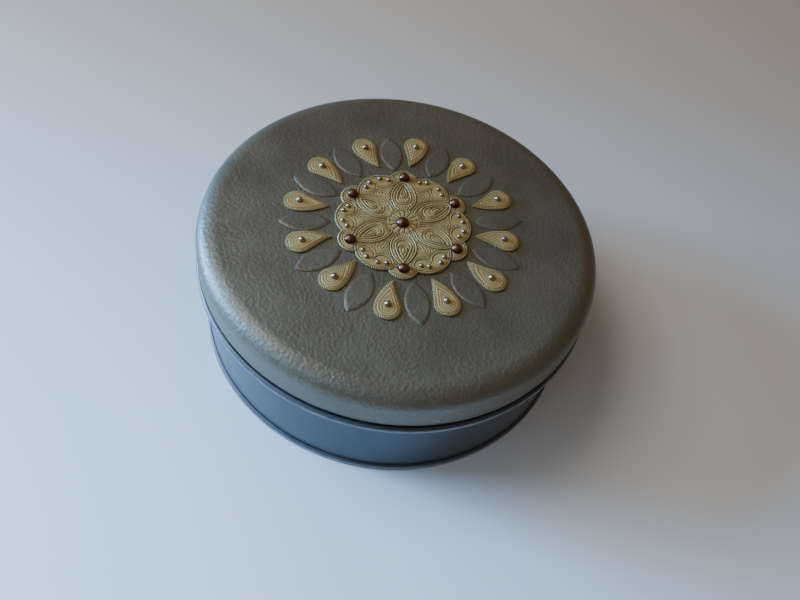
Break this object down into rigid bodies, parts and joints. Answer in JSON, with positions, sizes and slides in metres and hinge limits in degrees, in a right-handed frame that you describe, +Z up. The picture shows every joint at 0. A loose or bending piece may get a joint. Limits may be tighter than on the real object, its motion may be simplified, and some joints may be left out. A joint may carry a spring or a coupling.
{
  "type": "round lidded tin",
  "caption": "Round slip-lid keepsake tin with a seamed base, curled lid edge, clay-covered lid, scalloped medallion, teardrop and leaf trims, domes and beads.",
  "frame": {"origin": "on the tin's axis, on the surface that its base seam stands on", "axes": "+Z up through the middle of the lid; +X and +Y lie in the base plane, with the front of the lid's pattern towards -Y"},
  "size_m": [0.19, 0.19, 0.0708],
  "materials": {
    "gunmetal_paint": "satin gunmetal enamel on tinplate, slightly metallic",
    "bare_tinplate": "bare tinplate inside, gunmetal enamel outside",
    "pewter_clay": "pewter pearl polymer clay with a fine leather-like grain",
    "antique_gold_clay": "stamped gold polymer clay with a dark wash in its grooves",
    "aged_copper": "mottled aged copper, polished on top",
    "pearl_metal": "small polished silver-beige beads"
  },
  "bodies": {
    "tin": {"body_wall": "gunmetal_paint", "base_disc": "gunmetal_paint"},
    "lid": {"lid_shell": "bare_tinplate", "clay_cover": "pewter_clay", "medallion": "antique_gold_clay", "copper_dome_1": "aged_copper", "copper_dome_2": "aged_copper", "copper_dome_3": "aged_copper", "copper_dome_4": "aged_copper", "copper_dome_5": "aged_copper", "copper_dome_6": "aged_copper", "copper_dome_7": "aged_copper", "teardrop_1": "antique_gold_clay", "teardrop_2": "antique_gold_clay", "teardrop_3": "antique_gold_clay", "teardrop_4": "antique_gold_clay", "teardrop_5": "antique_gold_clay", "teardrop_6": "antique_gold_clay", "teardrop_7": "antique_gold_clay", "teardrop_8": "antique_gold_clay", "teardrop_9": "antique_gold_clay", "teardrop_10": "antique_gold_clay", "teardrop_11": "antique_gold_clay", "teardrop_12": "antique_gold_clay", "teardrop_bead_1": "pearl_metal", "teardrop_bead_2": "pearl_metal", "teardrop_bead_3": "pearl_metal", "teardrop_bead_4": "pearl_metal", "teardrop_bead_5": "pearl_metal", "teardrop_bead_6": "pearl_metal", "teardrop_bead_7": "pearl_metal", "teardrop_bead_8": "pearl_metal", "teardrop_bead_9": "pearl_metal", "teardrop_bead_10": "pearl_metal", "teardrop_bead_11": "pearl_metal", "teardrop_bead_12": "pearl_metal", "leaf_1": "pewter_clay", "leaf_2": "pewter_clay", "leaf_3": "pewter_clay", "leaf_4": "pewter_clay", "leaf_5": "pewter_clay", "leaf_6": "pewter_clay", "leaf_7": "pewter_clay", "leaf_8": "pewter_clay", "leaf_9": "pewter_clay", "leaf_10": "pewter_clay", "leaf_11": "pewter_clay", "leaf_12": "pewter_clay"}
  },
  "joints": [
    {"name": "lid_lift", "type": "slide", "parent": "tin", "child": "lid", "axis": [0, 0, 1], "range_m": [0, 0.12]}
  ]
}
